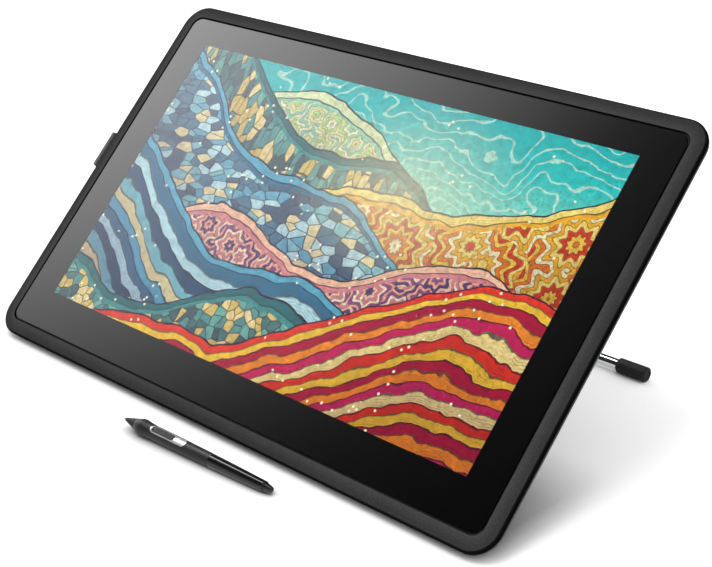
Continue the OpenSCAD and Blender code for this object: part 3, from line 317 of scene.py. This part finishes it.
FLAME = [(0.85, 0.04, 0.02), (1.0, 0.62, 0.05), (0.5, 0.01, 0.05),
         (1.0, 0.3, 0.03), (0.7, 0.02, 0.12), (1.0, 0.8, 0.3)]
INK = (0.02, 0.015, 0.035)
DUSK = (0.35, 0.25, 0.42)


def pick(s, fac, colours):
    """One of the colours, by a value from 0 to 1."""
    return s.ramp(fac, [(k / len(colours), c) for k, c in enumerate(colours)], steps=True)


def ribbons(s, at, depth, colours, repeat):
    """Stripes of the given colours that follow a crest, with drawn lines and hatching between them."""
    n = len(colours)
    tone = pick(s, s.fract(s.mul(depth, repeat)), colours)
    line = s.less(s.fract(s.mul(depth, repeat * n)), 0.16)
    hatch = s.less(s.fract(s.mul(depth, repeat * n * 5)), 0.25)
    broken = s.less(0.48, s.noise(5, 2, at=at))
    tone = s.mix(s.mul(s.mul(hatch, broken), 0.4), tone, INK)
    return s.mix(s.mul(line, 0.8), tone, INK)


def blooms(s, at, colours, scale, petals):
    """Round flowers of ringed petals, drawn out from scattered middles."""
    made = s.node("ShaderNodeTexVoronoi", feature="F1")
    made.voronoi_dimensions = "2D"
    s.put(made.inputs["Vector"], at)
    s.put(made.inputs["Scale"], scale)
    s.put(made.inputs["Randomness"], 0.7)
    arm = s.vector("SUBTRACT", at, made.outputs["Position"])
    angle = s.math("ARCTAN2", s.dot(arm, (0, 1, 0)), s.dot(arm, (1, 0, 0)))
    wave = s.math("COSINE", s.mul(angle, petals))
    reach = s.mul(made.outputs["Distance"], s.add(1.0, s.mul(wave, 0.16)))
    turn = s.add(s.mul(reach, 1.6), s.dot(made.outputs["Color"], (1, 0, 0)))
    tone = pick(s, s.fract(turn), colours)
    ring = s.less(s.fract(s.mul(turn, len(colours))), 0.16)
    spoke = s.less(s.fract(s.mul(angle, petals * 5 / math.tau)), 0.14)
    tone = s.mix(s.mul(spoke, 0.4), tone, INK)
    return s.mix(s.mul(ring, 0.75), tone, INK)


def shards(s, at, colours, wide, tall):
    """Leaves and splinters: drawn-out cells in many colours with dark edges and a light vein."""
    spread = s.vector("MULTIPLY", at, (wide, tall, 1))
    tone = pick(s, s.dot(s.cells(1.0, at=spread, flat=True, out="Color"), (1, 0, 0)), colours)
    edge = s.cells(1.0, at=spread, feature="DISTANCE_TO_EDGE", flat=True)
    vein = s.less(s.fract(s.mul(edge, 9)), 0.2)
    tone = s.mix(s.mul(vein, 0.35), tone, (0.9, 0.85, 0.6))
    return s.mix(s.mul(s.less(edge, 0.05), 0.85), tone, INK)


def picture(s, x, y):
    """An invented picture: hills of ribbons, flowers and leaves in layers under a turquoise sky."""
    flat = s.combine(x, y)
    warp = s.noise(1.1, 3, at=flat)
    ripple = s.noise(5.5, 3, at=flat)
    at = s.combine(s.add(x, s.mul(ripple, 0.03)), s.add(y, s.mul(warp, 0.12)))
    tone = s.ramp(s.spread(s.add(y, s.mul(warp, 0.5)), 0, 1, 0.1, 1.5), SKY)
    swirl = s.fract(s.mul(s.add(s.add(y, s.mul(warp, 1.5)), s.mul(ripple, 0.1)), 10))
    tone = s.mix(s.mul(s.less(swirl, 0.16), 0.5), tone, (0.8, 0.95, 0.75))
    # Each hill: height at the middle, rise to the right, swell, waves across, start, colours, and its
    # pattern with the pattern's sizes
    hills = (
        (0.62, -0.10, 0.22, 2.4, 2.6, CLOUD, ("blooms", 5.0, 6)),
        (0.50, -0.42, 0.20, 2.7, 0.3, GROVE, ("shards", 21, 8)),
        (0.20, 0.34, 0.16, 2.3, 1.9, GOLD, ("blooms", 2.9, 9)),
        (0.16, -0.36, 0.16, 3.1, 1.0, LAKE, ("shards", 10, 18)),
        (-0.14, 0.05, 0.17, 3.3, 4.2, ROSE, ("blooms", 4.3, 7)),
        (-0.42, -0.30, 0.13, 2.9, 0.5, LAKE, ("ribbons", 2.1)),
        (-0.60, 0.10, 0.12, 3.7, 2.4, GROVE, ("shards", 15, 15)),
        (-0.62, 0.36, 0.14, 2.5, 5.0, FLAME, ("ribbons", 2.6)),
    )
    for height, rise, swell, waves, start, colours, (kind, *sizes) in hills:
        wave = s.math("SINE", s.add(s.mul(x, waves), start))
        crest = s.add(s.add(s.mul(x, rise), height), s.add(s.mul(wave, swell), s.mul(warp, 0.35)))
        depth = s.math("SUBTRACT", s.add(crest, s.mul(ripple, 0.05)), s.add(y, 0.2))
        moved = s.vector("ADD", at, (start, height * 3, 0))
        if kind == "ribbons":
            body = ribbons(s, flat, s.add(depth, s.mul(ripple, 0.05)), colours, *sizes)
        elif kind == "blooms":
            body = blooms(s, moved, colours, *sizes)
        else:
            body = shards(s, moved, colours, *sizes)
        band = ribbons(s, flat, depth, colours, 3.2)
        body = s.mix(s.less(depth, 0.09), body, band)
        body = s.mix(s.spread(depth, 0, 0.6, 0.03, 0.75), body, s.mix(1.0, body, DUSK, blend="MULTIPLY"))
        body = s.mix(s.mul(s.less(depth, 0.012), 0.9), body, INK)
        tone = s.mix(s.less(0.0, depth), tone, body)
    # Over them, loose drawn lines, sparks, a glow up and right of the middle, and the marks of a brush
    sketch = s.less(s.fract(s.mul(s.noise(7, 4, 0.6, at=flat), 11)), 0.1)
    tone = s.mix(s.mul(sketch, 0.45), tone, INK)
    spark = s.mul(s.less(s.cells(10, at=flat, flat=True), 0.09), s.less(0.58, s.noise(2.6, 1, at=flat)))
    tone = s.mix(spark, tone, (1.0, 0.93, 0.66))
    from_x, from_y = s.add(s.mul(x, 0.7), -0.3), s.add(y, -0.42)
    reach = s.math("SQRT", s.add(s.mul(from_x, from_x), s.mul(from_y, from_y)))
    tone = s.mix(s.spread(reach, 0.42, 0.0, 0.05, 0.62), tone, (1.0, 0.93, 0.62))
    brush = s.spread(s.noise(22, 4, 0.7, at=flat), 0.7, 1.15, *NOISE_SPAN)
    return s.mix(1.0, tone, s.combine(brush, brush, brush), blend="MULTIPLY")


def lit_panel(name):
    """The liquid crystal cell with its lit picture, which the print on the glass frames."""
    s = Shade(name)
    x, y = screen_place(s)
    return s.show(s.principled(Base_Color=(0.01, 0.01, 0.012), Roughness=0.5, Specular_IOR_Level=0.0,
                               Emission_Color=picture(s, x, y), Emission_Strength=1.0))


# The glass's roughness, its index, and how far below its face it has a finish, in metres: its back is clear
GLASS_ROUGH = 0.16
GLASS_INDEX = 1.5
GLASS_EDGE = 0.0006


def screen_glass(name):
    """Etched cover glass: clear over the picture, printed black round it, with a matt ground edge."""
    s = Shade(name)
    x, y = screen_place(s)
    speck = s.noise(2600, 2)
    ink = s.mix(s.spread(speck, 0, 1, 0.4, 0.6), (0.0008, 0.0008, 0.001), (0.0016, 0.0016, 0.0018))
    rough = s.spread(s.noise(400, 2), GLASS_ROUGH - 0.01, GLASS_ROUGH + 0.01, *NOISE_SPAN)
    border = s.principled(Base_Color=ink, Roughness=rough)
    ground = s.principled(Base_Color=ink, Roughness=0.6, Specular_IOR_Level=0.02)
    border = s.blend(s.less(s.facing(), 0.95), border, ground)
    gloss = s.node("ShaderNodeBsdfGlossy")
    s.put(gloss.inputs["Roughness"], rough)
    clear = s.node("ShaderNodeBsdfTransparent").outputs[0]
    fresnel = s.node("ShaderNodeFresnel")
    s.put(fresnel.inputs["IOR"], GLASS_INDEX)
    window = s.blend(fresnel.outputs[0], clear, gloss.outputs[0])
    front = s.blend(in_picture(s, x, y), border, window)
    below = s.dot(s.vector("SUBTRACT", s.place, tuple(GLASS_FACE)), OUT)
    return s.show(s.blend(s.less(below, -GLASS_EDGE), front, clear))


def soft_touch(name, colour, rough):
    """Soft coating on the pen's grip: velvety, with a very fine grain."""
    s = Shade(name)
    fine = s.noise(5200, 2, 0.6)
    slow = s.noise(70, 2)
    dark, light = tones(colour, 0.15)
    tone = s.mix(s.spread(fine, 0, 1, 0.35, 0.65), dark, light)
    gloss = s.spread(slow, rough - 0.04, rough + 0.04, *NOISE_SPAN)
    return s.show(s.principled(Base_Color=tone, Roughness=gloss, Specular_IOR_Level=0.28,
                               Normal=s.bump(fine, 0.00002)))


def ridged(name, colour, rough, along, pitch):
    """Matt plastic with fine ridges across it, for a finger to feel, and painted light and shade on the
    ridges.
    """
    s = Shade(name)
    wave = s.math("SINE", s.mul(s.dot(s.place, along), math.tau / pitch))
    dark, light = tones(colour, 0.85)
    # Painted highlight and shade: the tone follows the ridges' height, lighter on the crests, darker in the
    # grooves
    tone = s.mix(s.spread(wave, 0, 1, -1, 1), dark, light)
    height = s.bump(wave, 0.00012, s.bump(s.noise(4200, 2), 0.00002))
    return s.show(s.principled(Base_Color=tone, Roughness=rough, Specular_IOR_Level=0.2, Normal=height))


def polished(name, colour, rough, shine=0.5):
    """Polished dark plastic with a clear surface and faint rubbing marks."""
    s = Shade(name)
    rub = s.noise(1.0, 3, at=s.vector("MULTIPLY", s.place, (120, 1800, 1800)))
    dark, light = tones(colour, 0.1)
    tone = s.mix(rub, dark, light)
    gloss = s.spread(rub, rough * 0.8, rough * 1.25, *NOISE_SPAN)
    return s.show(s.principled(Base_Color=tone, Roughness=gloss, Specular_IOR_Level=shine,
                               Normal=s.bump(rub, 0.000004)))


# One finish for each material slot of the record
FINISHES = {
    "frame_plastic": frame_shell("frame_plastic", (0.063, 0.063, 0.064), 0.7),
    "cover_plastic": moulded("cover_plastic", (0.03, 0.03, 0.031), 0.6, grain=1800, depth=0.0001, change=0.2),
    "glass": screen_glass("screen_glass"),
    "screen": lit_panel("lit_panel"),
    "film": film("optical_film", (0.8, 0.82, 0.83)),
    "sheet_steel": metal("sheet_steel", (0.55, 0.56, 0.57), 0.35, grain=(40, 1800, 1800)),
    "board": circuit_board("circuit_board"),
    "copper": metal("copper", (0.7, 0.36, 0.16), 0.3),
    "brass": metal("brass", (0.62, 0.46, 0.2), 0.3, grain=(60, 2200, 2200)),
    "rubber": moulded("rubber", (0.009, 0.009, 0.0094), 0.72, grain=2200, depth=0.00008,
                      Specular_IOR_Level=0.3),
    "elastomer": soft_touch("elastomer", (0.008, 0.008, 0.0084), 0.52),
    "steel": metal("steel", (0.55, 0.55, 0.56), 0.28, grain=(60, 2400, 2400)),
    "chrome": metal("chrome", (0.66, 0.67, 0.68), 0.06, grain=(30, 2600, 2600), change=0.04),
    "stand_metal": powder_coat("stand_metal", (0.045, 0.045, 0.047), 0.48),
    "black_plastic": moulded("black_plastic", (0.02, 0.02, 0.021), 0.42, grain=3600, depth=0.00003),
    "gloss_black": polished("gloss_black", (0.007, 0.007, 0.0075), 0.1, shine=0.32),
    "lens": polished("lens", (0.7, 0.75, 0.77), 0.15),
    "silver": metal("silver", (0.6, 0.61, 0.62), 0.3, grain=(60, 2400, 2400), change=0.05, plate=0.6),
}
# The way along the pen, which the ridges of its switch cross
PEN_ALONG = Vector((1, 0.04, -0.02))
# Pieces whose surface differs from the rest of their material
SURFACES = {
    "side_switch": ridged("switch_ridges", (0.03, 0.03, 0.031), 0.6, PEN_ALONG, 0.0026),
    "pen_nose": moulded("nose_plastic", (0.009, 0.009, 0.0094), 0.5, grain=3600, depth=0.00003,
                        Specular_IOR_Level=0.12),
    "nose_ring": metal("ring_metal", (0.2, 0.2, 0.205), 0.35, grain=(60, 2400, 2400), change=0.05, plate=0.6),
    "pen_eraser": polished("eraser_plastic", (0.008, 0.008, 0.0085), 0.2, shine=0.4),
}
for part in frame["record"]["subparts"]:
    slots = nodes[part["node"]].data.materials
    slots.clear()
    slots.append(SURFACES.get(part["node"], FINISHES[part["material_slot"]]))


# The floor: its side in metres, its two tones, and how much whiter it looks than it lights the object
FLOOR_SIZE = 12.0
FLOOR_TONES = (0.86, 0.89)
FLOOR_GAIN = 1.67
# The painted contact shade on it, which darkens its colour where the camera sees it: how near a piece darkens
# it, in metres, and how deep it is under the display. It fades in behind the display's lower edge, and out
# towards the back and beside the display. In front, where the pen lies, it fades out before that edge
CONTACT_REACH = 0.1
CONTACT_DEPTH = 1.5
FADE_IN = 0.03
FADE_BACK = (-0.04, 0.09)
FADE_SIDE = (-0.022, 0.004)
PEN_MARGIN = 0.01


def painted_contact_depth(s):
    """How deep the painted contact shade goes: under the display, in front where the pen lies, and none
    behind.
    """
    x, y = s.math("ABSOLUTE", s.dot(s.place, (1, 0, 0))), s.dot(s.place, (0, 1, 0))
    low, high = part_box("front_frame")
    under = s.mul(s.spread(y, 0, 1, low.y, low.y + FADE_IN), s.spread(y, 1, 0, *FADE_BACK))
    inner, outer = (high.x + step for step in FADE_SIDE)
    under = s.mul(under, s.spread(x, CONTACT_DEPTH, 0, inner, outer))
    by_pen = s.spread(y, 1, 0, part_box("pen_grip")[1].y, low.y - PEN_MARGIN)
    return s.add(under, by_pen)


def studio_floor():
    """A large pale floor, white where lit, with the object's shadow and a painted contact shade close to it.
    """
    bpy.ops.mesh.primitive_plane_add(size=FLOOR_SIZE, location=(0, 0, 0))
    floor = bpy.context.object
    floor.name = "studio_floor"
    s = Shade("studio_floor")
    dark, light = ((tone,) * 3 for tone in FLOOR_TONES)
    tone = s.mix(s.noise(3, 2), dark, light)
    paper = s.node("ShaderNodeBsdfDiffuse")
    s.put(paper.inputs["Color"], tone)
    close = s.node("ShaderNodeAmbientOcclusion")
    s.put(close.inputs["Distance"], CONTACT_REACH)
    paths = s.node("ShaderNodeLightPath").outputs
    # Painted contact shade: the floor's colour is darkened by ambient occlusion, for the camera only
    depth = s.mul(painted_contact_depth(s), paths["Is Camera Ray"])
    contact = s.mul(s.math("POWER", close.outputs["AO"], depth), FLOOR_GAIN)
    bright = s.node("ShaderNodeBsdfDiffuse")
    s.put(bright.inputs["Color"], s.mix(1.0, tone, s.combine(contact, contact, contact), blend="MULTIPLY"))
    seen = s.math("MAXIMUM", paths["Is Camera Ray"], paths["Is Glossy Ray"])
    seen = s.math("MAXIMUM", seen, paths["Is Transmission Ray"])
    floor.data.materials.append(s.show(s.blend(seen, paper.outputs[0], bright.outputs[0])))


studio_floor()


def way(azimuth, elevation):
    """Direction from the object, by its azimuth from the front and its elevation."""
    a, e = math.radians(azimuth), math.radians(elevation)
    return Vector((math.sin(a) * math.cos(e), -math.cos(a) * math.cos(e), math.sin(e)))


class World:
    """The studio round the object, built node by node."""

    def __init__(self):
        self.world = bpy.data.worlds.new("studio")
        scene.world = self.world
        self.world.use_nodes = True
        self.tree = self.world.node_tree
        self.tree.nodes.clear()
        self.dir = self.tree.nodes.new("ShaderNodeTexCoord").outputs["Generated"]

    def lobe(self, toward, inner, outer, low, high):
        """high within the inner angle round a direction, low beyond the outer one."""
        dot = self.tree.nodes.new("ShaderNodeVectorMath")
        dot.operation = "DOT_PRODUCT"
        dot.inputs[1].default_value = toward
        self.tree.links.new(self.dir, dot.inputs[0])
        angle = self.tree.nodes.new("ShaderNodeMath")
        angle.operation = "ARCCOSINE"
        self.tree.links.new(dot.outputs["Value"], angle.inputs[0])
        grade = self.tree.nodes.new("ShaderNodeMapRange")
        for name, value in (("From Min", math.radians(inner)), ("From Max", math.radians(outer)),
                            ("To Min", high), ("To Max", low)):
            grade.inputs[name].default_value = value
        self.tree.links.new(angle.outputs[0], grade.inputs["Value"])
        return grade.outputs[0]

    def join(self, operation, a, b):
        made = self.tree.nodes.new("ShaderNodeMath")
        made.operation = operation
        self.tree.links.new(a, made.inputs[0])
        self.tree.links.new(b, made.inputs[1])
        return made.outputs[0]

    def show(self, plain, mirrored):
        """White for the camera and through glass, the studio in mirrors, an even light on the rest."""
        paths = self.tree.nodes.new("ShaderNodeLightPath")
        lit = self.tree.nodes.new("ShaderNodeMix")
        self.tree.links.new(paths.outputs["Is Glossy Ray"], lit.inputs[0])
        lit.inputs[2].default_value = plain
        self.tree.links.new(mirrored, lit.inputs[3])
        through = self.join("MAXIMUM", paths.outputs["Is Camera Ray"], paths.outputs["Is Transmission Ray"])
        seen = self.tree.nodes.new("ShaderNodeMix")
        self.tree.links.new(through, seen.inputs[0])
        self.tree.links.new(lit.outputs[0], seen.inputs[2])
        seen.inputs[3].default_value = 1.0
        back = self.tree.nodes.new("ShaderNodeBackground")
        back.inputs["Color"].default_value = (1, 1, 1, 1)
        self.tree.links.new(seen.outputs[0], back.inputs["Strength"])
        out = self.tree.nodes.new("ShaderNodeOutputWorld")
        self.tree.links.new(back.outputs[0], out.inputs["Surface"])


# An even sky lights the object. What glass, metal and gloss mirror is a pale dome with a dark flag where the
# right half of the glass looks, a large soft light at the left, and behind it a long strip that draws a line
# of light along the pen: a part of a ring round STRIP_AXIS. A dark card at the back gives the bright rod its
# outline. Each of them has a direction, and the angles in degrees between which it fades
SKY_LIGHT = 0.857
DOME = 0.8
FLAG = (way(-46, 46), 20, 42)
KEY = (way(-85, 35), 10, 24)
KEY_LEVEL = 5.7
STRIP_AXIS = Vector((0, 0.93, 0.368))
STRIP_OUTSIDE = (STRIP_AXIS, 73, 76)
STRIP_INSIDE = (STRIP_AXIS, 63, 66)
STRIP_ENDS = (way(-97, 48), 22, 30)
STRIP_LEVEL = 12.0
CARD = (way(-148, 12), 45, 51)
CARD_LEVEL = 0.02
studio = World()
dome = studio.lobe(*FLAG, DOME, 0.0)
key = studio.lobe(*KEY, 0.0, KEY_LEVEL)
strip = studio.join("SUBTRACT", studio.lobe(*STRIP_OUTSIDE, 0.0, 1.0), studio.lobe(*STRIP_INSIDE, 0.0, 1.0))
strip = studio.join("MULTIPLY", strip, studio.lobe(*STRIP_ENDS, 0.0, STRIP_LEVEL))
card = studio.lobe(*CARD, 1.0, CARD_LEVEL)
mirrored = studio.join("ADD", studio.join("ADD", studio.join("MULTIPLY", dome, card), key), strip)
studio.show(SKY_LIGHT, mirrored)

# A soft light high in front, which throws the shadow under the display
TOP_POWER = 0.47
TOP_SPREAD = math.radians(19.6)
TOP_WAY = way(-6.2, 73.8)
top = bpy.data.lights.new("top_light", "SUN")
top.energy = TOP_POWER
top.angle = TOP_SPREAD
top_light = bpy.data.objects.new("top_light", top)
top_light.rotation_euler = TOP_WAY.to_track_quat("Z", "Y").to_euler()
scene.collection.objects.link(top_light)

lens = bpy.data.cameras.new("camera")
lens.sensor_width = SENSOR_MM
lens.lens = lens.sensor_width * FOCAL_PX / PHOTO_W
camera = bpy.data.objects.new("camera", lens)
camera.location = SCREEN + OUT * (GLASS_FACE - SCREEN).dot(OUT) + CAMERA_FROM_SCREEN
camera.rotation_euler = CAMERA_LOOK.to_track_quat("-Z", "Y").to_euler()
scene.collection.objects.link(camera)
scene.camera = camera
